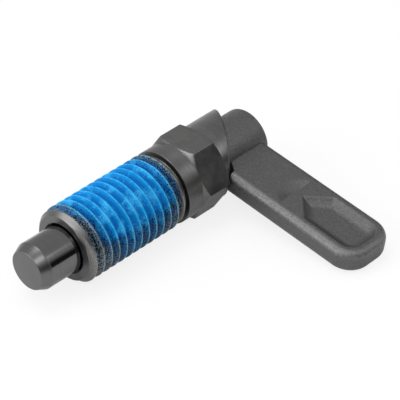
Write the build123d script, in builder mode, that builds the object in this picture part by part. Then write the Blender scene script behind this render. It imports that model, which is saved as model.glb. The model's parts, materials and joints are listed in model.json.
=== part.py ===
from build123d import *
import os
from math import asin, atan2, cos, degrees, hypot, radians, sin, tan

os.makedirs("parts", exist_ok=True)

# Cam-action locking bolt. All lengths are millimetres.
# The bolt's axis is Y, with the pin at -Y and the lever at +Y, and +Z is up.
# The origin is on that axis, in the plane of the hexagon's front edge.
# The bolt lies as it comes to rest, on one flat of the hexagon and the lever's tip.

# Sleeve: thread, relief groove, collar and hexagon
thread_diameter = 16.0
thread_root_diameter = 13.5
sleeve_reach = 30.4        # hexagon to front face
front_chamfer = 1.1
collar_length = 3.95
groove_width = 1.35
hex_across_flats = 16.0
hex_length = 7.0
hex_chamfer_angle = 30.0   # to the end faces

# Sleeve: oblique cam end
cam_diameter = 16.0
cam_angle = 34.5           # the cam face, from square to the axis
cam_heel = 0.5             # shortest length of the cam collar, on the lever's side
cam_edge = 0.3

# Locking pin
pin_diameter = 10.0
pin_protrusion = 9.4
guide_diameter = 10.4      # thicker part that slides in the sleeve
guide_length = 14.25
guide_setback = 0.15       # guide's front edge, behind the sleeve's front face
guide_chamfer = 0.2
nose_diameter = 8.2
nose_length = 2.0
nose_edge = 0.3
shank_diameter = 6.0
neck_diameter = 4.4        # below the peened head
head_diameter = 6.4
head_height = 0.9

# Running clearances, on the radius
pin_clearance = 0.04
shank_clearance = 0.04
mouth_relief = 0.2         # past the bore, round the pin in the sleeve's front face
mouth_depth = 0.8

# Return spring
spring_wire = 1.0
spring_diameter = 9.1
spring_turns = 6

# Lever
stroke = 12.0              # the pin's travel over half a turn of the lever
hub_diameter = 12.0
hub_rise = 2.7             # hub's end, past the cam's high point
hub_edge = 1.0
hub_gap = 0.2              # hub to cam face
arm_reach = 40.75          # bolt axis to lever tip
arm_width = 13.3
arm_gap = 0.1              # arm to hexagon
arm_thickness = 5.0
arm_edge = 1.5
arm_corner = 5.0
rim_clearance = 0.2        # arm to cam collar, on the radius
relief_rise = 0.36         # rise of the arm's cam relief, per length off its middle

# Grip recesses, the same on both faces of the arm
grip_apex = 21.7           # bolt axis to the recess's point
grip_margin = 2.1          # to the arm's outline
grip_corner = 3.0
grip_depth = 1.2
grip_draft = 45.0          # of the recess's walls, from upright
dimple_radius = 4.9
dimple_depth = 1.3         # of the full cone
dimple_edge = 19.9         # bolt axis to the dimple's straight side

# Retaining washer, under the pin's peened head
washer_diameter = 9.0
washer_thickness = 0.8
washer_gap = 0.05          # to the lever's counterbore
counterbore_diameter = 9.6
counterbore_depth = 1.9

# Thread-lock patch, in the thread's grooves
patch_depth = 0.1
patch_front_margin = 5.0   # to the sleeve's front face
patch_rear_margin = 1.2    # to the relief groove
patch_start = -12.0        # degrees up from +X, round the axis
patch_span = 195.0

# Radii and stations worked out from the sizes above
thread_radius = thread_diameter / 2
cam_radius = cam_diameter / 2
hex_radius = hex_across_flats / 2
corner_radius = hex_radius / cos(radians(30))
corner_drop = (corner_radius - hex_radius) * tan(radians(hex_chamfer_angle))
bore_radius = guide_diameter / 2 + pin_clearance
rear_bore_radius = shank_diameter / 2 + shank_clearance
groove_radius = thread_root_diameter / 2
groove_start = -collar_length - groove_width
guide_front = -sleeve_reach + guide_setback
pin_shoulder = guide_front + guide_length
spring_seat = pin_shoulder + stroke + (spring_turns + 2) * spring_wire
cam_slope = tan(radians(cam_angle))
cam_middle = hex_length + cam_heel + cam_radius * cam_slope
cam_top = cam_middle + cam_radius * cam_slope
hub_end = cam_top + hub_rise
arm_middle = hex_length + arm_gap + arm_width / 2
washer_seat = hub_end - counterbore_depth + washer_gap
patch_front = -sleeve_reach + patch_front_margin
patch_length = groove_start - patch_rear_margin - patch_front

# The lever droops until the round edge of its tip touches the plane that the hexagon lies on.
tip_centre = (arm_reach - arm_edge, arm_thickness / 2 - arm_edge)
droop = asin((hex_radius - arm_edge) / hypot(*tip_centre)) - atan2(tip_centre[1], tip_centre[0])
lever_direction = Vector(cos(droop), 0, -sin(droop))
lever_up = Vector(sin(droop), 0, cos(droop))
lever_plane = Plane(origin=(0, 0, 0), x_dir=lever_direction, z_dir=lever_up)


def section(y):
    """Plane square to the bolt's axis, whose extrusions go to +Y when negative."""
    return Plane.XZ.offset(-y)


def cam_plane(gap):
    """The cam face, moved back by a gap along the bolt's axis."""
    normal = lever_direction * cam_slope + Vector(0, 1, 0)
    return Plane(origin=(0, cam_middle + gap, 0), z_dir=normal)


def arm_face(side):
    """Plane on the arm's upper (1) or lower (-1) face, with its x along the arm."""
    return Plane(
        origin=lever_up * (side * arm_thickness / 2),
        x_dir=lever_direction,
        z_dir=lever_up * side,
    )


# Hexagon, with both ends turned to a cone
with BuildPart() as hexagon:
    with BuildSketch(section(0)):
        RegularPolygon(hex_radius, 6, major_radius=False)
    extrude(amount=-hex_length)
    with BuildSketch():
        Polygon(
            (0, 0),
            (hex_radius, 0),
            (corner_radius, corner_drop),
            (corner_radius, hex_length - corner_drop),
            (hex_radius, hex_length),
            (0, hex_length),
            align=None,
        )
    revolve(axis=Axis.Y, mode=Mode.INTERSECT)

# The space that the patch fills in the thread's grooves
with BuildPart() as patch:
    with BuildSketch(section(patch_front)):
        with BuildLine():
            outer = CenterArc((0, 0), thread_radius, patch_start, patch_span)
            inner = CenterArc((0, 0), thread_radius - patch_depth, patch_start, patch_span)
            Line(outer @ 0, inner @ 0)
            Line(outer @ 1, inner @ 1)
        make_face()
    extrude(amount=-patch_length)
patch.part.label = "thread_lock_patch"

# Threaded sleeve: the thread is a plain cylinder at its outside diameter
with BuildPart() as sleeve:
    with BuildSketch():
        Polygon(
            (0, -sleeve_reach),
            (thread_radius - front_chamfer, -sleeve_reach),
            (thread_radius, -sleeve_reach + front_chamfer),
            (thread_radius, groove_start),
            (groove_radius, groove_start + (thread_radius - groove_radius) / 2),
            (groove_radius, -collar_length),
            (thread_radius, -collar_length),
            (thread_radius, 0),
            (0, 0),
            align=None,
        )
    revolve(axis=Axis.Y)
    add(hexagon.part)
    with BuildSketch(section(hex_length)):
        Circle(cam_radius)
    extrude(amount=-(hub_end - hex_length))
    split(bisect_by=cam_plane(0), keep=Keep.BOTTOM)
    cam_face = faces().sort_by(Axis.Y)[-1]
    chamfer(cam_face.edges(), cam_edge)
    with BuildSketch():
        Polygon(
            (0, -sleeve_reach),
            (bore_radius + mouth_relief, -sleeve_reach),
            (bore_radius + mouth_relief, -sleeve_reach + mouth_depth),
            (bore_radius, -sleeve_reach + mouth_depth),
            (bore_radius, spring_seat),
            (rear_bore_radius, spring_seat),
            (rear_bore_radius, hub_end),
            (0, hub_end),
            align=None,
        )
    revolve(axis=Axis.Y, mode=Mode.SUBTRACT)
    add(patch.part, mode=Mode.SUBTRACT)
sleeve.part.label = "threaded_body"

# Locking pin: conical nose, locking end, guide, shank, neck and peened head
with BuildPart() as pin:
    nose_face = -sleeve_reach - pin_protrusion
    head_seat = washer_seat + washer_thickness
    head_top = head_seat + head_height
    with BuildSketch():
        with BuildLine():
            Polyline(
                (0, head_top),
                (0, nose_face),
                (nose_diameter / 2, nose_face),
                (pin_diameter / 2, nose_face + nose_length),
                (pin_diameter / 2, guide_front),
                (guide_diameter / 2, guide_front + guide_chamfer),
                (guide_diameter / 2, pin_shoulder),
                (shank_diameter / 2, pin_shoulder),
                (shank_diameter / 2, washer_seat),
                (neck_diameter / 2, washer_seat),
                (neck_diameter / 2, head_seat),
                (head_diameter / 2, head_seat),
            )
            TangentArc((0, head_top), (head_diameter / 2, head_seat), tangent=(1, 0))
        make_face()
    revolve(axis=Axis.Y)
    fillet(edges().filter_by(GeomType.CIRCLE).sort_by(Axis.Y)[0], nose_edge)
pin.part.label = "locking_pin"

# Return spring, between the pin's shoulder and the sleeve's inner shoulder
with BuildPart() as spring:
    coil_radius = (spring_diameter - spring_wire) / 2
    coil_length = spring_seat - pin_shoulder - spring_wire
    with BuildLine():
        coil = Helix(
            pitch=coil_length / spring_turns,
            height=coil_length,
            radius=coil_radius,
            center=(0, pin_shoulder + spring_wire / 2, 0),
            direction=(0, 1, 0),
        )
    with BuildSketch(Plane(origin=coil @ 0, z_dir=coil % 0)):
        Circle(spring_wire / 2)
    sweep(path=coil, is_frenet=True)
spring.part.label = "return_spring"

# The cam collar's sweep, which the root of the lever's arm stays clear of.
# Its end lies along the cam face and rises to both sides of the arm.
with BuildPart() as rim_sweep:
    with BuildSketch(Plane(origin=(0, cam_middle + hub_gap, 0), x_dir=-lever_up, z_dir=lever_direction)):
        Polygon(
            (0, 0),
            (arm_thickness, relief_rise * arm_thickness),
            (arm_thickness, -hub_end),
            (-arm_thickness, -hub_end),
            (-arm_thickness, relief_rise * arm_thickness),
            align=None,
        )
    extrude(amount=2 * cam_diameter, dir=lever_direction - Vector(0, cam_slope, 0))
    with BuildSketch(section(0)):
        Circle(cam_radius + rim_clearance)
    extrude(amount=-hub_end, mode=Mode.INTERSECT)

# Hub, whose oblique end lies along the cam face
with BuildPart() as hub:
    with BuildSketch(section(0)):
        Circle(hub_diameter / 2)
    extrude(amount=-hub_end)
    fillet(faces().sort_by(Axis.Y)[-1].edges(), hub_edge)
    split(bisect_by=cam_plane(hub_gap), keep=Keep.TOP)

# The dimple beside the grip recess: a shallow cone that stops at a straight edge
with BuildPart(Plane(origin=(0, 0, 0))) as dimple:
    Cone(0.01, dimple_radius, dimple_depth, align=(Align.CENTER, Align.CENTER, Align.MAX))
    split(bisect_by=Plane.YZ.offset(dimple_edge - grip_apex), keep=Keep.BOTTOM)

# Lever: a flat arm with a grip recess on each face, cast in one with its hub
with BuildPart() as lever:
    with BuildSketch(lever_plane.offset(-arm_thickness / 2)) as arm_outline:
        with Locations((arm_reach / 2, arm_middle)):
            Rectangle(arm_reach, arm_width)
        fillet(arm_outline.vertices().group_by(Axis.X)[-1], arm_corner)
    extrude(amount=arm_thickness)
    root = faces().filter_by(Plane(origin=(0, 0, 0), z_dir=lever_direction)).sort_by(Axis.X)[0]
    rims = [face.edges() for face in faces().filter_by(lever_plane)]
    fillet([edge for rim in rims for edge in rim if edge not in root.edges()], arm_edge)
    add(rim_sweep.part, mode=Mode.SUBTRACT)
    add(hub.part)
    grip_half = arm_width / 2 - grip_margin
    grip_end = arm_reach - grip_margin
    for side in (1, -1):
        middle = side * arm_middle
        with BuildSketch(arm_face(side)) as grip:
            Polygon(
                (grip_apex, middle),
                (grip_apex + grip_half, middle - grip_half),
                (grip_end, middle - grip_half),
                (grip_end, middle + grip_half),
                (grip_apex + grip_half, middle + grip_half),
                align=None,
            )
            fillet(grip.vertices().group_by(Axis.X)[-1], grip_corner)
        extrude(amount=-grip_depth, taper=grip_draft, mode=Mode.SUBTRACT)
        with Locations(arm_face(side)):
            with Locations((grip_apex, middle)):
                add(dimple.part, mode=Mode.SUBTRACT)
    with BuildSketch(section(0)):
        Circle(rear_bore_radius)
    extrude(amount=-hub_end, mode=Mode.SUBTRACT)
    with BuildSketch(section(hub_end - counterbore_depth)):
        Circle(counterbore_diameter / 2)
    extrude(amount=-counterbore_depth, mode=Mode.SUBTRACT)
lever.part.label = "lever"

# Washer that holds the lever's hub on the pin
with BuildPart() as washer:
    with BuildSketch(section(washer_seat)):
        Circle(washer_diameter / 2)
        Circle(neck_diameter / 2, mode=Mode.SUBTRACT)
    extrude(amount=-washer_thickness)
washer.part.label = "retaining_washer"

for piece in (sleeve, patch, pin, spring, lever, washer):
    export_step(piece.part, f"parts/{piece.part.label}.step")
    box = piece.part.bounding_box()
    print(piece.part.label, len(piece.part.solids()), "solid", round(piece.part.volume, 2), "mm3",
          "from", [round(v, 2) for v in box.min], "to", [round(v, 2) for v in box.max])
print("lever droop", round(degrees(droop), 2), "degrees")
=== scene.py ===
import json
import math

import bmesh
import bpy
import numpy as np
from mathutils import Matrix, Vector

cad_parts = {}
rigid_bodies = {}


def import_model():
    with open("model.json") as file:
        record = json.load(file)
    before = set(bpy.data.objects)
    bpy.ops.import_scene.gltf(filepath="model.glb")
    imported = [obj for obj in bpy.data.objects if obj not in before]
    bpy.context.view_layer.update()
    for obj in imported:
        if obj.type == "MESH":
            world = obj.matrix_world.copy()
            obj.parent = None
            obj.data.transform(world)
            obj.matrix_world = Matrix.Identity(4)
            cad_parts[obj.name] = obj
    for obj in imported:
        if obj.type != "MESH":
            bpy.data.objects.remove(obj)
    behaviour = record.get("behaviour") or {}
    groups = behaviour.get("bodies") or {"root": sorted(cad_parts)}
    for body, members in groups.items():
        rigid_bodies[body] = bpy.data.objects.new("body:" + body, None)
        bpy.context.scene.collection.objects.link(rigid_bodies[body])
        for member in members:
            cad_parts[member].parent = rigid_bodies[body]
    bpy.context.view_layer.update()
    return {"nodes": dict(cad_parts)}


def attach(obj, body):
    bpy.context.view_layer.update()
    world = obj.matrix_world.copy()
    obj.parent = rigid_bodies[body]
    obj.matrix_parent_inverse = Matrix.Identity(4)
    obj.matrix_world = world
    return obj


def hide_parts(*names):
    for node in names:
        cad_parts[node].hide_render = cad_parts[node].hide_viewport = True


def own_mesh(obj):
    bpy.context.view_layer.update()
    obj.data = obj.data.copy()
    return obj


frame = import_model()
print("frame: the packed bolt is in, with", len(frame["nodes"]), "solids")

mm = 0.001  # sizes below are millimetres, and Blender works in metres
fullTurn = 2 * math.pi
weldReach = 0.0015  # points closer than this are one
tiny = 1e-9         # keeps a division by a length from failing

# What the pieces share with the bolt's drawing
bolt = {
    "frontFace": -30.4,
    "threadRadius": 8.0,
    "grooveRadius": 6.75,
    "camSlope": math.tan(math.radians(34.5)),
    "camMiddle": 12.998,
    "leverDroop": math.radians(8.07),
    "pinShoulder": -16.0,
    "springSeat": 4.0,
}


# Columns round the axis, in radians: even steps, and three close ones each side of every hexagon corner
def columnAngles(step=2.5, closeStep=0.21, corners=6):
    even = np.arange(0, 360, step)
    close = closeStep * np.array([-3, -2, -1, 1, 2, 3])
    extra = (np.arange(corners)[:, None] * 360 / corners + close).ravel() % 360
    return np.radians(np.append(np.unique(np.concatenate([even, extra])), 360.0))


# Points of a turned surface: radius times cosine and sine of the angle, with the station as Y
def turnedPoints(radius, station, angle):
    radius, station, angle = np.broadcast_arrays(radius, station, angle)
    return np.stack([radius * np.cos(angle), station, radius * np.sin(angle)], axis=-1)


# A meridian with eased corners: each corner becomes a parabola that touches its two sides at an equal
# distance, and takes no more than a given share of the shorter one
def easedMeridian(corners, easing, steps=4, most=0.48):
    corners = [np.broadcast_arrays(*corner) for corner in corners]
    width = max(corner[0].size for corner in corners)
    corners = [np.stack([np.broadcast_to(value, width) for value in corner]) for corner in corners]
    rows = [corners[0]]
    for before, corner, after, size in zip(corners, corners[1:], corners[2:], easing):
        back, ahead = before - corner, after - corner
        backLength = np.linalg.norm(back, axis=0)
        aheadLength = np.linalg.norm(ahead, axis=0)
        reach = np.minimum(size, most * np.minimum(backLength, aheadLength))
        first = corner + back / np.maximum(backLength, tiny) * reach
        last = corner + ahead / np.maximum(aheadLength, tiny) * reach
        for t in np.linspace(0, 1, steps) if size else [0.5]:
            rows.append((1 - t) ** 2 * first + 2 * t * (1 - t) * corner + t ** 2 * last)
    rows.append(corners[-1])
    return np.array(rows)


# One mesh from blocks of grid points: four neighbours make a face, and points that meet are welded
def weldedSkin(name, blocks, body, sharpAngle=32, facts=()):
    points = np.concatenate([block.reshape(-1, 3) for block in blocks]) * mm
    faces, start = [], 0
    for block in blocks:
        rows, columns = block.shape[:2]
        index = start + np.arange(rows * columns).reshape(rows, columns)
        ring = [index[:-1, :-1], index[:-1, 1:], index[1:, 1:], index[1:, :-1]]
        faces.append(np.stack(ring, axis=-1).reshape(-1, 4))
        start += rows * columns
    mesh = bpy.data.meshes.new(name)
    mesh.from_pydata(points, [], np.concatenate(faces))
    for label, values in facts:
        mesh.attributes.new(label, "FLOAT", "POINT").data.foreach_set("value", values)
    shell = bmesh.new()
    shell.from_mesh(mesh)
    bmesh.ops.remove_doubles(shell, verts=shell.verts, dist=weldReach * mm)
    bmesh.ops.recalc_face_normals(shell, faces=shell.faces)
    shell.to_mesh(mesh)
    shell.free()
    mesh.shade_smooth()
    mesh.set_sharp_from_angle(angle=math.radians(sharpAngle))
    piece = bpy.data.objects.new(name, mesh)
    bpy.context.scene.collection.objects.link(piece)
    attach(piece, body)
    return piece


# Thread: M16 x 2, whose crest line falls back by one pitch for each turn about +Y
thread = {
    "pitch": 2.0,
    "crestStation": -27.14,  # of a crest's middle at angle 0
    "crestFlat": 0.125,      # half its width
    "rootStart": 0.667,      # where a flank ends, from the crest's middle
    "flankAngle": 30.0,      # to the radius
    "crestDrop": 0.018,      # softening of the crest's two corners
    "crestEase": 0.05,
    # row places over half a pitch, from the crest's middle
    "profile": [0, 0.07, 0.1, 0.125, 0.15, 0.18, 0.3, 0.42, 0.54, 0.667, 0.76, 0.88],
    "turns": (-3, 16),       # first turn from the crest station that may be needed, and one past the last
    "overrun": 0.6,          # rows this far past an end are kept, and stop at it
    "frontChamfer": 1.1,
    "rearEnd": -4.675,
    "rearConeLength": 0.625,
}


# Thread radius: a flat crest with softened corners, two flanks, and a root rounded by a parabola
def threadHeight(station, angle):
    pitch = thread["pitch"]
    along = station - thread["crestStation"] + pitch * angle / fullTurn
    t = np.abs((along + pitch / 2) % pitch - pitch / 2)
    slope = 1 / math.tan(math.radians(thread["flankAngle"]))
    flank = bolt["threadRadius"] - slope * (t - thread["crestFlat"])
    corner = np.maximum(0, 1 - np.abs(t - thread["crestFlat"]) / thread["crestEase"])
    crest = np.minimum(bolt["threadRadius"], flank) - thread["crestDrop"] * corner ** 2
    width = pitch / 2 - thread["rootStart"]
    root = slope * np.maximum(0, t - thread["rootStart"]) ** 2 / (2 * width)
    return crest + root


# Helical rows: every row keeps its place on the thread's profile, and stops at both ends of the thread
def threadRows(front, rear, angle):
    pitch, profile, overrun = thread["pitch"], np.array(thread["profile"]), thread["overrun"]
    steps = np.concatenate([profile, [pitch / 2], pitch - profile[:0:-1]])
    turns = np.arange(*thread["turns"])[:, None] * pitch
    offsets = (turns + steps).ravel()
    stations = thread["crestStation"] - pitch * angle / fullTurn + offsets[:, None]
    used = (stations.max(axis=1) > front - overrun) & (stations.min(axis=1) < rear + overrun)
    stations = np.clip(stations[used], front, rear)
    return threadHeight(stations, angle), stations


# Body: the threaded sleeve, collar, hexagon and cam end in one closed skin
body = {
    "boreRadius": 5.24,
    "rearBoreRadius": 3.04,
    "mouthRelief": 0.2,
    "mouthDepth": 0.8,
    "collarFront": -3.95,
    "hexLength": 7.0,
    "hexRadius": 8.0,
    "cornerEasing": 0.2,
    "hexChamfer": 30.0,
    # of the meridian's corners from the groove back to the front face, by way of the cam face and the bore
    "easing": [0.3, 0.1, 0.3, 0.1, 0.1, 0.0, 0.42, 0.08, 0.1, 0.1, 0.0, 0.0, 0.0],
    "wearAndHighlightDepth": 1.1,     # bright rubbing and the painted highlight ring on the thread, as deep as this
    "wornLength": 5.0,    # and fading over this length from the front
    "wornChamfer": 0.2,   # how much of it the front chamfer has
    "highlightRing": -5.3,     # station of a painted highlight ring at the thread's rear end
    "ringWidth": 0.08,    # half the width of its brightest part
}


# Hexagon radius: the flat's distance over the cosine from its middle, with an arc at each corner
def hexagonRadius(angle):
    half = math.radians(30)
    fromCorner = (angle + half) % (2 * half) - half
    flat = body["hexRadius"] / np.cos(half - np.abs(fromCorner))
    ease = body["cornerEasing"]
    centre = (body["hexRadius"] - ease) / math.cos(half)
    inside = np.maximum(0, ease ** 2 - (centre * np.sin(fromCorner)) ** 2)
    arc = centre * np.cos(fromCorner) + np.sqrt(inside)
    touch = math.atan2(ease * math.sin(half), centre + ease * math.cos(half))
    return np.where(np.abs(fromCorner) <= touch * 1.01, np.minimum(arc, flat), flat)


# Cam face station: the middle's station less the slope times the way along the lever
def camStation(radius, angle):
    return bolt["camMiddle"] - bolt["camSlope"] * radius * np.cos(angle + bolt["leverDroop"])


# Threaded body: the thread's rows cut back by a cone at each end, and a meridian for all the rest.
# Its crests are worn by their height, more towards the front, and a thin ring at the rear end carries a
# painted highlight
def makeThreadedBody():
    angle = columnAngles()
    front, rear = bolt["frontFace"], thread["rearEnd"]
    full, groove = bolt["threadRadius"], bolt["grooveRadius"]
    height, station = threadRows(front, rear, angle)
    frontCone = full - thread["frontChamfer"] + (station - front)
    rearCone = groove + (rear - station) * (full - groove) / thread["rearConeLength"]
    radius = np.minimum(height, np.minimum(frontCone, rearCone))
    blocks = [turnedPoints(radius, station, angle)]

    hexagon = hexagonRadius(angle)
    cone = (hexagon - body["hexRadius"]) * math.tan(math.radians(body["hexChamfer"]))
    bore, rearBore = body["boreRadius"], body["rearBoreRadius"]
    mouth, step = bore + body["mouthRelief"], front + body["mouthDepth"]
    length, seat = body["hexLength"], bolt["springSeat"]
    corners = [
        (groove, rear), (groove, body["collarFront"]), (full, body["collarFront"]), (full, 0.0),
        (hexagon, cone), (hexagon, length - cone), (full, length), (full, camStation(full, angle)),
        (rearBore, camStation(rearBore, angle)), (rearBore, seat), (bore, seat),
        (bore, step), (mouth, step), (mouth, front), (radius[0], front),
    ]
    rows = easedMeridian(corners, body["easing"])
    blocks.append(turnedPoints(rows[:, 0], rows[:, 1], angle))
    wearAndHighlight = np.clip(1 - (full - radius) / body["wearAndHighlightDepth"], 0, 1)
    fading = np.clip(1 - (station - front) / body["wornLength"], 0, 1)
    fading *= np.where(frontCone < height, body["wornChamfer"], 1.0)
    # Painted highlight: a thin bright ring on the crests at the thread's rear end, carried in the same fact
    # as the front wear
    ring = np.clip(2 - np.abs(station - body["highlightRing"]) / body["ringWidth"], 0, 1)
    wearAndHighlight *= np.maximum(fading, ring)
    facts = [("wearAndHighlight", np.concatenate([wearAndHighlight.ravel(), np.zeros(rows[:, 0].size)]))]
    piece = weldedSkin("threadedBody", blocks, "sleeve", sharpAngle=38, facts=facts)
    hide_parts("threaded_body")
    return piece


threadedBody = makeThreadedBody()
print("threaded body:", len(threadedBody.data.polygons), "faces")


# Patch: powdery nylon baked into the thread, dense over more than a third of a turn and thin beside that
patch = {
    "front": -28.6,
    "rear": -5.6,
    "middle": 85.0,        # degrees up from +X
    "reach": 145.0,        # how far round the thin powder goes, each way from the middle
    "columns": 132,
    "coat": 0.02,          # outside the thread's surface
    "denseFrom": 0.7,      # cover from which the powder begins to fill the groove
    "fill": 0.4,           # share of the groove's depth that dense powder fills
    "sink": 0.12,          # its hidden side, under the surface
    "grooveDepth": 1.2,    # that counts as the deepest for its painted groove shade
    # degrees from the middle, and how much of the thread is covered there
    "round": ([0, 58, 76, 100, 130, 145], [1.40, 1.20, 0.60, 0.44, 0.36, 0.0]),
    # mm from the front or rear end, and the same
    "frontEnd": ([0, 0.6, 2.2, 4.4], [0.14, 0.36, 0.60, 1.0]),
    "rearEnd": ([0, 1.0, 3.0, 5.4], [0.15, 0.42, 0.62, 1.0]),
    "frontSlant": 0.026,   # mm that the front end falls back for each degree under the middle
}


# Patch skin: the thread's own grid raised by the coat, and by a share of the groove's depth where powder is
# dense, a sunk copy under it, and walls between their borders
def makePatchSkin():
    reach = math.radians(patch["reach"])
    angle = math.radians(patch["middle"]) + np.linspace(-reach, reach, patch["columns"])
    front, rear = patch["front"], patch["rear"]
    height, station = threadRows(front, rear, angle)
    aroundCover = np.interp(np.abs(np.degrees(angle) - patch["middle"]), *patch["round"])
    fallen = patch["frontSlant"] * np.maximum(0, patch["middle"] - np.degrees(angle))
    frontCover = np.interp(station - front - fallen, *patch["frontEnd"])
    rearCover = np.interp(rear - station, *patch["rearEnd"])
    cover = aroundCover[None, :] * frontCover * rearCover
    depth = bolt["threadRadius"] - height
    dense = np.clip((cover - patch["denseFrom"]) / (1 - patch["denseFrom"]), 0, 1)
    top = turnedPoints(height + patch["coat"] + patch["fill"] * depth * dense, station, angle)
    under = turnedPoints(height - patch["sink"], station, angle)
    walls = [
        np.stack([top[0], under[0]]), np.stack([top[-1], under[-1]]),
        np.stack([top[:, 0], under[:, 0]]), np.stack([top[:, -1], under[:, -1]]),
    ]

    # A fact's values on all blocks, in the order of their points
    def overBlocks(values):
        edges = [values[0], values[0], values[-1], values[-1]]
        edges += [values[:, 0], values[:, 0], values[:, -1], values[:, -1]]
        return np.concatenate([values.ravel(), values.ravel()] + edges)

    deep = np.clip(depth / patch["grooveDepth"], 0, 1)
    facts = [("cover", overBlocks(cover)), ("depth", overBlocks(deep))]
    piece = weldedSkin("patchSkin", [top, under] + walls, "sleeve", facts=facts)
    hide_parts("thread_lock_patch")
    return piece


patchSkin = makePatchSkin()
print("patch:", len(patchSkin.data.polygons), "faces")

# Pin: conical nose, locking end, guide, shank, neck and peened head, as radius and station
pin = {
    "meridian": [
        (0, -39.8), (4.1, -39.8), (5.0, -37.8), (5.0, -29.7), (5.2, -29.6), (5.2, -16.0),
        (3.0, -16.0), (3.0, 19.35), (2.2, 19.35), (2.2, 20.15), (3.2, 20.15), (2.6, 20.85), (0, 21.05),
    ],
    "easing": [0.14, 0.12, 0.03, 0.05, 0.15, 0.2, 0.1, 0.1, 0.1, 0.15, 0.5],
}


# Turned piece: its meridian with eased corners, carried once round the axis
def makeTurned(name, meridian, easing, bodyName, columns=160, steps=5):
    angle = np.linspace(0, fullTurn, columns + 1)
    rows = easedMeridian([(np.array([r]), np.array([y])) for r, y in meridian], easing, steps)
    points = turnedPoints(rows[:, 0], rows[:, 1], angle[None, :])
    return weldedSkin(name, [points], bodyName)


lockingPin = makeTurned("lockingPin", pin["meridian"], pin["easing"], "plunger")
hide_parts("locking_pin")
print("pin:", len(lockingPin.data.polygons), "faces")

# Washer under the pin's peened head
washer = {
    "meridian": [(2.2, 19.75), (2.2, 19.35), (4.5, 19.35), (4.5, 20.15), (2.2, 20.15), (2.2, 19.75)],
    "easing": [0.06, 0.1, 0.14, 0.06],
}
retainingWasher = makeTurned(
    "retainingWasher", washer["meridian"], washer["easing"], "plunger", columns=96
)
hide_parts("retaining_washer")
print("washer:", len(retainingWasher.data.polygons), "faces")

# Spring: round wire wound between the pin's shoulder and the sleeve's inner shoulder
spring = {
    "wire": 1.0,
    "coilRadius": 4.05,
    "turns": 6,
    "roundWire": 14,    # facets round the wire
    "perTurn": 48,      # and along one turn
    "keep": 0.4,        # share of its length that it keeps at full travel
}


# Spring: a circle square to the helix's direction, carried along it, and closed by a point at each end
def makeReturnSpring():
    half = spring["wire"] / 2
    start, stop = bolt["pinShoulder"] + half, bolt["springSeat"] - half
    turn = np.linspace(0, spring["turns"] * fullTurn, spring["turns"] * spring["perTurn"] + 1)
    turn = np.concatenate([turn[:1], turn, turn[-1:]])
    wire = np.full(turn.size, half)
    wire[[0, -1]] = 0.0
    climb = (stop - start) / (spring["turns"] * fullTurn)
    radius = spring["coilRadius"]
    outward = np.stack([np.cos(turn), 0 * turn, np.sin(turn)], axis=-1)
    forward = np.stack([-radius * np.sin(turn), 0 * turn + climb, radius * np.cos(turn)], axis=-1)
    forward /= np.linalg.norm(forward, axis=-1, keepdims=True)
    across = np.cross(forward, outward)
    centre = outward * radius + np.stack([0 * turn, start + climb * turn, 0 * turn], axis=-1)
    wireTurn = np.linspace(0, fullTurn, spring["roundWire"] + 1)[:, None]
    ring = np.cos(wireTurn) * outward[:, None] + np.sin(wireTurn) * across[:, None]
    points = centre[:, None] + ring * wire[:, None, None]
    piece = weldedSkin("returnSpring", [points], "sleeve", sharpAngle=60)
    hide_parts("return_spring")
    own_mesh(piece)
    return piece


returnSpring = makeReturnSpring()
print("spring:", len(returnSpring.data.polygons), "faces")

# Lever: a hub on the pin's shank and a flat arm with a grip recess on each face, cast in one
lever = {
    "hubRadius": 6.0,
    "hubEnd": 21.2,
    "hubGap": 0.2,
    "counterbore": (4.8, 1.9),   # radius, depth
    "shaftRadius": 3.04,
    "root": 5.1,                 # where the arm starts, inside the hub's wall
    "reach": 40.75,
    "near": 7.1,                 # station of the arm's side beside the hexagon
    "width": 13.3,
    "thickness": 5.0,
    "edge": 1.5,                 # rounding of the arm's long edges
    "corner": 5.0,               # rounding of the tip, in plan
    "rootStep": 0.24,            # grid steps along the arm before and behind the dimple's straight edge
    "gripStep": 0.2,
    "capStep": 0.145,            # and across it
    "capGap": 0.15,              # the first of those behind the rounded edge
    "edgeRows": 9,
    "sideRows": 7,
    "arcColumns": 22,            # round each of the tip's corners
    "tipColumns": 15,
    "hubColumns": 144,
    "seamDepth": 3.0,            # in the shaft's hole, where the hub's skin begins and ends
    "hubEases": [0.05, 0.12, 1.4, 0.12, 0.1, 0.1],
    "rimRadius": 8.2,            # the cam collar's sweep, which the root stays clear of
    "rimRise": 0.36,             # of the oblique face for each mm up from the arm's middle plane
    "gripApex": 21.7,
    "gripMargin": 2.1,
    "gripCorner": 3.0,
    "gripDepth": 1.2,
    "gripPointEase": 0.25,
    "gripLip": 0.15,             # easing of the recess's lip
    "gripFloor": 1.0,            # and of its floor's edge
    "dimpleRadius": 4.9,
    "dimpleDepth": 1.3,
    "dimpleEdge": 19.9,
    "dimpleLip": 0.12,
    "dimpleWall": 0.1,           # length over which its straight edge drops
    "highlightTurn": 92.0,            # degrees of an edge's bend that carry the painted highlight
    "highlightFrom": 14.0,            # the far edge's painted highlight starts here along the arm
    "highlightOver": 26.0,            # and is full after this length
}


# Smaller of two arrays, blended by a parabola where they are closer than the softness
def softSmaller(first, second, softness):
    mixed = np.maximum(softness - np.abs(first - second), 0) / softness
    return np.minimum(first, second) - mixed ** 2 * softness / 4


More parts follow.
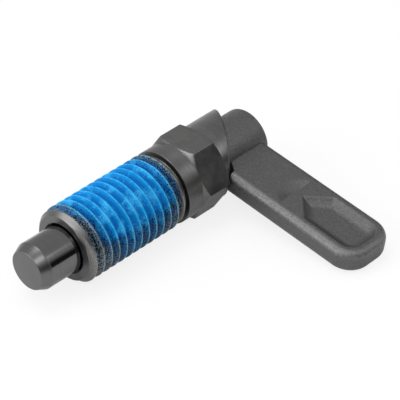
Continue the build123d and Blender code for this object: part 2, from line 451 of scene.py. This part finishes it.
# Depth of the recess and of the dimple below the arm's face: walls at 45 degrees from the distance
# inside the recess's outline, down to a flat floor, and a shallow cone that stops at a straight edge
def gripDepth(along, across):
    half = lever["width"] / 2 - lever["gripMargin"]
    side = np.abs(across - lever["near"] - lever["width"] / 2)
    end = lever["reach"] - lever["gripMargin"] - along
    point = (along - lever["gripApex"] - side) / math.sqrt(2)
    ease = lever["gripCorner"]
    cornerAlong, cornerAcross = ease - end, side - half + ease
    rounded = ease - np.hypot(np.maximum(cornerAlong, 0), np.maximum(cornerAcross, 0))
    inside = np.minimum(np.minimum(half - side, end), rounded)
    inside = softSmaller(inside, point, lever["gripPointEase"])
    lip = -softSmaller(-inside, np.zeros_like(inside), lever["gripLip"])
    recess = softSmaller(lip, np.full_like(lip, lever["gripDepth"]), lever["gripFloor"])
    cone = 1 - np.hypot(along - lever["gripApex"], side) / lever["dimpleRadius"]
    stop = np.clip((lever["dimpleEdge"] - along) / lever["dimpleWall"] + 0.5, 0, 1)
    dimple = -softSmaller(-lever["dimpleDepth"] * cone, np.zeros_like(cone), lever["dimpleLip"])
    return np.maximum(recess, dimple * stop)


# Plan of the arm at each inset from its outline: up one side, round the tip's two corners, and back
def armPlan(inset):
    inset = inset[:, None]
    pull = np.maximum(inset, lever["corner"])
    radius = np.maximum(lever["corner"] - inset, 0)
    centre = lever["reach"] - pull
    low = lever["near"] + pull
    high = lever["near"] + lever["width"] - pull
    edge, step = lever["dimpleEdge"], lever["gripStep"]
    wall = lever["dimpleWall"] / 2
    last = lever["reach"] - lever["width"] / 2 - step
    straight = np.concatenate([
        np.arange(lever["root"], edge - step, lever["rootStep"]),
        [edge - 2.4 * wall, edge - wall, edge, edge + wall],
        np.arange(edge + step, last, step),
    ])
    arc = np.radians(np.linspace(-90, 0, lever["arcColumns"]))[None, :]
    tip = np.linspace(0, 1, lever["tipColumns"])[None, 1:-1]
    flat = np.ones_like(inset)
    along = np.concatenate([
        flat * straight, centre + radius * np.cos(arc), (centre + radius) + 0 * tip,
        centre + radius * np.cos(arc[:, ::-1]), flat * straight[::-1],
    ], axis=1)
    across = np.concatenate([
        (lever["near"] + inset) + 0 * straight, low + radius * np.sin(arc), low + (high - low) * tip,
        high - radius * np.sin(arc[:, ::-1]),
        (lever["near"] + lever["width"] - inset) + 0 * straight,
    ], axis=1)
    return along, across


# Points of the lever, from along its arm, the station, and up from the arm's middle plane
def leverPoints(along, across, up):
    droop = bolt["leverDroop"]
    x = along * math.cos(droop) + up * math.sin(droop)
    z = up * math.cos(droop) - along * math.sin(droop)
    return np.stack([x, across, z], axis=-1)


# Root of the arm: the way along is no less than the smaller of the hub's oblique face and the cam
# collar's sweep
def clearOfRim(along, across, up):
    oblique = bolt["camMiddle"] + lever["hubGap"] + lever["rimRise"] * np.abs(up)
    onSlope = (oblique - across) / bolt["camSlope"]
    onRim = np.sqrt(lever["rimRadius"] ** 2 - up ** 2)
    return np.maximum(along, np.minimum(onSlope, onRim)), across, up


# Lever: the arm's two faces as grids over its plan, domed at their rims and lowered by the recess, its sides,
# two end walls inside the hub, and the hub as a meridian with an oblique end. The domed rims carry a painted
# highlight
def makeLever():
    half, edge, step = lever["thickness"] / 2, lever["edge"], lever["capStep"]
    bend = np.radians(np.linspace(0, 90, lever["edgeRows"]))
    rim = edge * (1 - np.cos(bend))
    cap = np.arange(edge + lever["capGap"], lever["width"] / 2, step)
    inset = np.concatenate([rim, cap, [lever["width"] / 2]])[::-1]
    along, across = armPlan(inset)
    dome = half - edge + np.sqrt(edge ** 2 - np.maximum(edge - inset, 0) ** 2)
    top = dome[:, None] - gripDepth(along, across)
    sideUp = np.linspace(half - edge, edge - half, lever["sideRows"])[:, None]
    flat = np.ones_like(sideUp)
    side = (flat * along[-1], flat * across[-1], sideUp + 0 * along[-1])
    skins = [(along, across, top), side, (along, across, -top)]
    share = np.linspace(1, -1, lever["sideRows"])[None, :]
    wide = np.ones_like(share)
    for column in (0, -1):
        wallAlong, wallAcross = along[:, column, None] * wide, across[:, column, None] * wide
        skins.append((wallAlong, wallAcross, top[:, column, None] * share))
    blocks = [leverPoints(*clearOfRim(*skin)) for skin in skins]

    angle = np.linspace(0, fullTurn, lever["hubColumns"] + 1)
    boreRadius, boreDepth = lever["counterbore"]
    shaft, hub, end = lever["shaftRadius"], lever["hubRadius"], lever["hubEnd"]
    gap, seam, floor = lever["hubGap"], end - lever["seamDepth"], end - boreDepth
    corners = [
        (shaft, seam), (shaft, camStation(shaft, angle) + gap), (hub, camStation(hub, angle) + gap),
        (hub, end), (boreRadius, end), (boreRadius, floor), (shaft, floor), (shaft, seam),
    ]
    rows = easedMeridian(corners, lever["hubEases"], steps=7)
    blocks.append(turnedPoints(rows[:, 0], rows[:, 1], angle))

    # Painted highlight along the domed rims: strongest halfway round each edge, and on the far edge only
    # towards the tip
    turned = np.arccos(np.clip(1 - inset / edge, -1, 1))
    bent = np.sin(math.pi * np.minimum(turned / math.radians(lever["highlightTurn"]), 1))[:, None]
    farSide = across >= lever["near"] + lever["width"] / 2
    highlightAlong = np.where(farSide, np.clip((along - lever["highlightFrom"]) / lever["highlightOver"], 0, 1), 1.0)
    wearAndHighlight = [np.zeros(block.shape[:2]) for block in blocks]
    wearAndHighlight[0] = wearAndHighlight[2] = bent * highlightAlong
    facts = [("wearAndHighlight", np.concatenate([values.ravel() for values in wearAndHighlight]))]
    piece = weldedSkin("leverCast", blocks, "lever", sharpAngle=36, facts=facts)
    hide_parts("lever")
    return piece


leverCast = makeLever()
print("lever:", len(leverCast.data.polygons), "faces")


# Sockets of a node, by name or number: each is linked to another node's output or set to a value
def feed(tree, node, inputs):
    for label, value in inputs.items():
        if isinstance(value, bpy.types.NodeSocket):
            tree.links.new(value, node.inputs[label])
        else:
            node.inputs[label].default_value = value


# A fresh material with its node tree and its shader, some of whose own sockets are set
def startMaterial(name, sockets):
    material = bpy.data.materials.new(name)
    material.use_nodes = True
    tree = material.node_tree
    shader = tree.nodes["Principled BSDF"]
    feed(tree, shader, sockets)
    return material, tree, shader


# A new node with settings of its own, and its sockets fed
def addNode(tree, kind, settings=None, inputs=None):
    node = tree.nodes.new(kind)
    for label, value in (settings or {}).items():
        setattr(node, label, value)
    feed(tree, node, inputs or {})
    return node


# Place on the piece, in metres
def addPlace(tree):
    return addNode(tree, "ShaderNodeTexCoord").outputs["Object"]


# Distance from the axis and station, as a vector: a pattern on it runs in rings round a turned piece
def addRingPlace(tree):
    split = addNode(tree, "ShaderNodeSeparateXYZ", inputs={0: addPlace(tree)}).outputs
    square = addNode(tree, "ShaderNodeCombineXYZ", inputs={"X": split["X"], "Z": split["Z"]})
    radius = addNode(tree, "ShaderNodeVectorMath", {"operation": "LENGTH"}, {0: square.outputs[0]})
    inputs = {"X": radius.outputs["Value"], "Y": split["Y"]}
    return addNode(tree, "ShaderNodeCombineXYZ", inputs=inputs).outputs[0]


# Noise over a place, from 0 to 1
def addNoise(tree, place, scale, detail, roughness):
    inputs = {"Vector": place, "Scale": scale, "Detail": detail, "Roughness": roughness}
    return addNode(tree, "ShaderNodeTexNoise", inputs=inputs).outputs["Fac"]


# Value that the skin carries at each point under this name
def addFact(tree, name):
    return addNode(tree, "ShaderNodeAttribute", {"attribute_name": name}).outputs["Fac"]


# Result of one step of arithmetic on its values, in their order
def addMath(tree, operation, *values):
    node = addNode(tree, "ShaderNodeMath", {"operation": operation}, dict(enumerate(values)))
    return node.outputs[0]


# Colour that goes by the factor from the first to the second, or to their product
def addMix(tree, factor, first, second, blend="MIX"):
    settings = {"data_type": "RGBA", "blend_type": blend}
    node = addNode(tree, "ShaderNodeMix", settings, {"Factor": factor, "A": first, "B": second})
    return node.outputs["Result"]


# A colour ramp on a source: stops are pairs of a place from 0 to 1 and a colour
def addRamp(tree, source, stops):
    node = addNode(tree, "ShaderNodeValToRGB", inputs={"Fac": source})
    points = node.color_ramp.elements
    while len(points) < len(stops):
        points.new(0.5)
    for point, (place, colour) in zip(points, stops):
        point.position = place
        point.color = (*colour, 1)
    return node.outputs["Color"]


# A colour with all three parts the same
def grey(value):
    return (value, value, value)


# Small relief for the shader, this deep in millimetres for a height of 1
def addBump(tree, shader, height, strength, depth):
    inputs = {"Height": height, "Strength": strength, "Distance": depth * mm}
    bump = addNode(tree, "ShaderNodeBump", inputs=inputs)
    feed(tree, shader, {"Normal": bump.outputs["Normal"]})


# Black oxide: a dark conversion coat on turned steel, brownish in clouds, with rings from the tool,
# and rubbed to bare metal in streaks where the piece is worn; the same bare colour paints a highlight ring at
# the thread's rear end
def makeBlackOxide():
    material, tree, shader = startMaterial("blackOxide", {"Metallic": 1.0})
    place = addPlace(tree)
    cloud = addNoise(tree, place, scale=260.0, detail=5.0, roughness=0.62)
    grain = addNoise(tree, place, scale=3600.0, detail=3.0, roughness=0.7)
    rings = addNoise(tree, addRingPlace(tree), scale=5200.0, detail=2.0, roughness=0.6)
    dark, middling, brownish = (0.112, 0.113, 0.116), (0.136, 0.135, 0.134), (0.154, 0.147, 0.140)
    tint = addRamp(tree, cloud, [(0.30, dark), (0.52, middling), (0.74, brownish)])
    marks = addRamp(tree, rings, [(0.3, grey(0.84)), (0.7, grey(1.16))])
    marked = addMix(tree, 1.0, tint, marks, blend="MULTIPLY")
    streak = addRamp(tree, grain, [(0.40, grey(0.0)), (0.68, grey(1.0))])
    # Bare metal where the front crests are worn, and a painted highlight in the ring at the thread's rear end
    wearAndHighlightShare = addMath(tree, "MULTIPLY", addFact(tree, "wearAndHighlight"), streak)
    bareMetalAndHighlight = (0.41, 0.385, 0.35, 1)
    rough = addRamp(tree, cloud, [(0.25, grey(0.28)), (0.75, grey(0.40))])
    feed(tree, shader, {"Base Color": addMix(tree, wearAndHighlightShare, marked, bareMetalAndHighlight), "Roughness": rough})
    addBump(tree, shader, addMath(tree, "ADD", grain, rings), strength=0.25, depth=0.04)
    return material


# Ground steel: dark polished steel with very fine rings, smooth along the ground length and rougher on the
# turned nose
def makeGroundSteel():
    material, tree, shader = startMaterial("groundSteel", {"Metallic": 1.0})
    lines = addNoise(tree, addRingPlace(tree), scale=6500.0, detail=3.0, roughness=0.6)
    tint = addRamp(tree, lines, [(0.3, (0.122, 0.122, 0.124)), (0.7, (0.146, 0.146, 0.148))])
    rough = addRamp(tree, lines, [(0.25, grey(0.10)), (0.75, grey(0.16))])
    split = addNode(tree, "ShaderNodeSeparateXYZ", inputs={0: addPlace(tree)})
    stations = {"Value": split.outputs["Y"], "From Min": -37.3 * mm, "From Max": -37.7 * mm}
    nose = addNode(tree, "ShaderNodeMapRange", inputs={**stations, "To Min": 0.0, "To Max": 0.18})
    rougher = addMath(tree, "ADD", rough, nose.outputs["Result"])
    feed(tree, shader, {"Base Color": tint, "Roughness": rougher})
    return material


# Spring steel: bright drawn wire and strip, a little cloudy
def makeSpringSteel():
    sockets = {"Metallic": 1.0, "Base Color": (0.34, 0.34, 0.35, 1)}
    material, tree, shader = startMaterial("springSteel", sockets)
    cloud = addNoise(tree, addPlace(tree), scale=900.0, detail=3.0, roughness=0.6)
    feed(tree, shader, {"Roughness": addRamp(tree, cloud, [(0.3, grey(0.22)), (0.7, grey(0.34))])})
    return material


# Lever coat: a dark casting with a finely pebbled satin coat, painted lighter along its rounded edges as a
# highlight
def makeLeverCoat():
    material, tree, shader = startMaterial("leverCoat", {"Metallic": 0.9})
    pebble = addNoise(tree, addPlace(tree), scale=2400.0, detail=4.0, roughness=0.7)
    tint = addRamp(tree, pebble, [(0.3, grey(0.088)), (0.7, grey(0.142))])
    uneven = addRamp(tree, pebble, [(0.3, grey(0.15)), (0.7, grey(0.60))])
    # Painted highlight on the rounded edges, broken up by the pebbling
    wearAndHighlightShare = addMath(tree, "MULTIPLY", addFact(tree, "wearAndHighlight"), uneven)
    edgeHighlightCoat = (0.26, 0.26, 0.26, 1)
    rough = addRamp(tree, pebble, [(0.3, grey(0.38)), (0.7, grey(0.50))])
    feed(tree, shader, {"Base Color": addMix(tree, wearAndHighlightShare, tint, edgeHighlightCoat), "Roughness": rough})
    addBump(tree, shader, pebble, strength=0.9, depth=0.12)
    return material


# Lock patch: blue nylon where the cover beats a speckle, and the black thread showing where it doesn't;
# the blue is painted lighter on the crests as a highlight and darker in the grooves as shade, the bare crests
# carry a painted highlight and the bare thread's pale grains are painted glints, and loose powder lies pale
# in blotches
def makeLockPatch():
    material, tree, shader = startMaterial("lockPatch", {"Specular IOR Level": 0.06})
    place = addPlace(tree)
    speckle = addNoise(tree, place, scale=4600.0, detail=2.0, roughness=0.6)
    blotch = addNoise(tree, place, scale=330.0, detail=4.0, roughness=0.65)
    grain = addRamp(tree, speckle, [(0.34, grey(0.0)), (0.66, grey(1.0))])
    ragged = addRamp(tree, blotch, [(0.30, grey(0.80)), (0.70, grey(1.20))])
    cover = addMath(tree, "MULTIPLY", addFact(tree, "cover"), ragged)
    lift = addMath(tree, "SUBTRACT", cover, grain)
    mask = addRamp(tree, lift, [(0.0, grey(0.0)), (0.06, grey(1.0))])
    grainShare = 0.16
    hollow = addMath(tree, "MULTIPLY_ADD", grain, grainShare, addFact(tree, "depth"))
    # Painted light on the nylon: lighter blue on the crests as a highlight, darker blue in the grooves as
    # shade
    crest, flank, root = (0.07, 0.46, 0.80), (0.002, 0.23, 0.60), (0.001, 0.14, 0.44)
    blue = addRamp(tree, hollow, [(0.03, crest), (0.13, flank), (1.0, root)])
    lying = addRamp(tree, blotch, [(0.49, grey(0.0)), (0.61, grey(1.0))])
    looseBlue = (0.06, 0.50, 0.90, 1)
    powder = addMix(tree, addMath(tree, "MULTIPLY", lying, grain), blue, looseBlue)
    # Bare thread in the speckle: black, with pale grains as painted glints
    glint, dim, dark = (0.44, 0.54, 0.58), (0.07, 0.085, 0.09), (0.012, 0.014, 0.018)
    blackWithGlints = addRamp(tree, speckle, [(0.40, glint), (0.47, dim), (0.60, dark)])
    # Painted highlight on the bare thread's crests
    wearAndHighlight = addRamp(tree, hollow, [(0.06, grey(1.0)), (0.20, grey(0.0))])
    bareCrestHighlight = (0.25, 0.27, 0.28, 1)
    bare = addMix(tree, wearAndHighlight, blackWithGlints, bareCrestHighlight)
    metal = addRamp(tree, mask, [(0.0, grey(1.0)), (1.0, grey(0.0))])
    rough = addRamp(tree, mask, [(0.0, grey(0.36)), (1.0, grey(0.60))])
    colour = addMix(tree, mask, bare, powder)
    feed(tree, shader, {"Base Color": colour, "Metallic": metal, "Roughness": rough})
    addBump(tree, shader, grain, strength=0.6, depth=0.06)
    return material


blackOxide = makeBlackOxide()
groundSteel = makeGroundSteel()
springSteel = makeSpringSteel()
leverCoat = makeLeverCoat()
lockPatch = makeLockPatch()


# A piece with one material only
def dress(piece, material):
    piece.data.materials.clear()
    piece.data.materials.append(material)


dress(threadedBody, blackOxide)
dress(patchSkin, lockPatch)
dress(lockingPin, groundSteel)
dress(retainingWasher, springSteel)
dress(returnSpring, springSteel)
dress(leverCast, leverCoat)
print("materials: five finishes are on")

# Studio: a pale floor, a white backdrop for the camera, soft lamps and a pale room with dark sides
studio = {
    "floor": -8.0,
    "floorGap": 0.02,     # under the bolt
    "floorSize": 700.0,
    "cameraShare": 0.82,  # of the floor's own glow in what the camera sees
    "glossyShare": 0.2,   # and in what the metal mirrors
    "room": 0.76,
    "darkRoom": 0.02,
    # towards, then degrees from there where the dark starts and where it is full
    "darkSides": [
        ((0.81, 0.57, 0.06), 26.0, 15.0), ((0.96, -0.2, 0.2), 26.0, 14.0),
        ((0.66, -0.74, 0.06), 26.0, 13.0), ((-0.25, 0.95, 0.12), 30.0, 16.0),
    ],
    # place, width, height, brightness beside a white wall's
    "lamps": {
        "overhead": ((-75, -15, 380), 220, 220, 3.2),
        "front": ((-134, -330, 182), 390, 245, 3.2),
        "nearCamera": ((200, -200, 350), 170, 170, 3.6),
        "right": ((243, 257, 279), 190, 190, 1.8),
    },
}


# Floor: a matt square that glows by itself for the camera, and a little for glossy rays
def makeFloor():
    half = studio["floorSize"] / 2 * mm
    height = (studio["floor"] - studio["floorGap"]) * mm
    across, along = np.meshgrid([-half, half], [-half, half])
    points = np.stack([across, along, np.full_like(across, height)], axis=-1)
    mesh = bpy.data.meshes.new("studioFloor")
    mesh.from_pydata(points.reshape(-1, 3), [], [(0, 1, 3, 2)])
    floor = bpy.data.objects.new("studioFloor", mesh)
    bpy.context.scene.collection.objects.link(floor)
    sockets = {"Roughness": 0.8, "Base Color": (0.86, 0.86, 0.86, 1)}
    material, tree, shader = startMaterial("studioFloor", sockets)
    light = addNode(tree, "ShaderNodeLightPath").outputs
    glossy = addMath(tree, "MULTIPLY", light["Is Glossy Ray"], studio["glossyShare"])
    share = addMath(tree, "MULTIPLY_ADD", light["Is Camera Ray"], studio["cameraShare"], glossy)
    glow = addNode(tree, "ShaderNodeEmission", inputs={"Strength": 1.0}).outputs["Emission"]
    inputs = {"Fac": share, 1: shader.outputs["BSDF"], 2: glow}
    blend = addNode(tree, "ShaderNodeMixShader", inputs=inputs)
    feed(tree, tree.nodes["Material Output"], {"Surface": blend.outputs[0]})
    mesh.materials.append(material)


# Room: white to the camera, and to the object a pale room that darkens near each dark side's direction
def makeRoom():
    world = bpy.data.worlds.new("studioRoom")
    bpy.context.scene.world = world
    world.use_nodes = True
    tree = world.node_tree
    direction = addNode(tree, "ShaderNodeTexCoord").outputs["Generated"]
    light = addNode(tree, "ShaderNodeLightPath").outputs
    level = studio["room"]
    for side, start, full in studio["darkSides"]:
        inputs = {0: direction, 1: Vector(side).normalized()}
        towards = addNode(tree, "ShaderNodeVectorMath", {"operation": "DOT_PRODUCT"}, inputs)
        startPlace, fullPlace = math.cos(math.radians(start)), math.cos(math.radians(full))
        stops = [(startPlace, grey(studio["room"])), (fullPlace, grey(studio["darkRoom"]))]
        level = addMath(tree, "MINIMUM", level, addRamp(tree, towards.outputs["Value"], stops))
    white = (1, 1, 1, 1)
    colour = addMix(tree, light["Is Camera Ray"], level, white)
    feed(tree, tree.nodes["Background"], {"Color": colour, "Strength": 1.0})


# Lamps: soft elliptical panels, whose power is brightness times pi times their area
def makeLamps():
    for name, (place, width, height, brightness) in studio["lamps"].items():
        lamp = bpy.data.lights.new(name + "Softbox", "AREA")
        lamp.shape = "ELLIPSE"
        lamp.size, lamp.size_y = width * mm, height * mm
        lamp.energy = brightness * math.pi * math.pi * width * height / 4 * mm ** 2
        holder = bpy.data.objects.new(name + "Softbox", lamp)
        bpy.context.scene.collection.objects.link(holder)
        holder.location = Vector(place) * mm
        holder.rotation_euler = (-holder.location).to_track_quat("-Z", "Y").to_euler()


# Camera: looks back along its own direction from the fitted distance, moved sideways by the fitted centre
camera = {
    "azimuth": 44.326,
    "elevation": 36.846,
    "roll": -0.844,
    "distance": 395.249,
    "lens": 178.219,
    "sensor": 36.0,
    "nearest": 10.0,      # anything nearer isn't drawn
    "centre": (4.994, -4.141),
}


def makeCamera():
    azimuth, elevation, roll = (math.radians(camera[name]) for name in ("azimuth", "elevation", "roll"))
    back = Vector((
        math.sin(azimuth) * math.cos(elevation),
        -math.cos(azimuth) * math.cos(elevation),
        math.sin(elevation),
    ))
    level = Vector((math.cos(azimuth), math.sin(azimuth), 0))
    upright = back.cross(level)
    right = level * math.cos(roll) + upright * math.sin(roll)
    up = upright * math.cos(roll) - level * math.sin(roll)
    place = back * camera["distance"] + right * camera["centre"][0] + up * camera["centre"][1]
    lens = bpy.data.cameras.new("studioCamera")
    lens.sensor_width = camera["sensor"]
    lens.lens = camera["lens"]
    lens.clip_start = camera["nearest"] * mm
    holder = bpy.data.objects.new("studioCamera", lens)
    bpy.context.scene.collection.objects.link(holder)
    turn = Matrix((right, up, back)).transposed().to_4x4()
    holder.matrix_world = Matrix.Translation(place * mm) @ turn
    bpy.context.scene.camera = holder


makeFloor()
makeRoom()
makeLamps()
makeCamera()
bpy.context.scene.view_settings.view_transform = "Standard"
print("studio: floor, room, lamps and camera are set")
